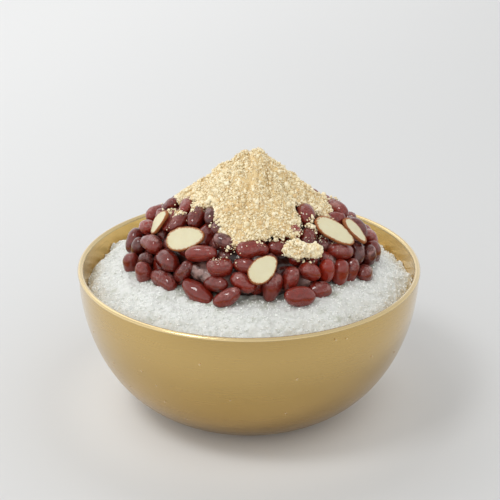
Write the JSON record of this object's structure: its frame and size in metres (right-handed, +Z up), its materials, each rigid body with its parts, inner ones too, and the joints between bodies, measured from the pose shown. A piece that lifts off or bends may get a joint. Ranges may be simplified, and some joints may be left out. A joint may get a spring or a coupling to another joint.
{
  "type": "bowl of bingsu",
  "caption": "Round brass-coloured bowl heaped with shaved ice, sweet red beans, roasted soybean powder and sliced almonds.",
  "frame": {"origin": "middle of the flat spot that the bowl stands on", "axes": "+Z up, -Y towards the eater, +X to the eater's right"},
  "size_m": [0.165, 0.165, 0.1289],
  "materials": {
    "brass": "satin, brushed in fine level lines",
    "ice": "loose white shaved ice",
    "beans": "glossy with thin syrup",
    "powder": "dry, grainy and clumped",
    "almond": "smooth cream slice with a thin brown skin"
  },
  "bodies": {
    "root": {"bowl": "brass", "shaved_ice": "ice", "red_beans": "beans", "powder_mound": "powder", "powder_clump": "powder", "almond_1": "almond", "almond_2": "almond", "almond_3": "almond", "almond_4": "almond", "almond_5": "almond"}
  },
  "joints": []
}
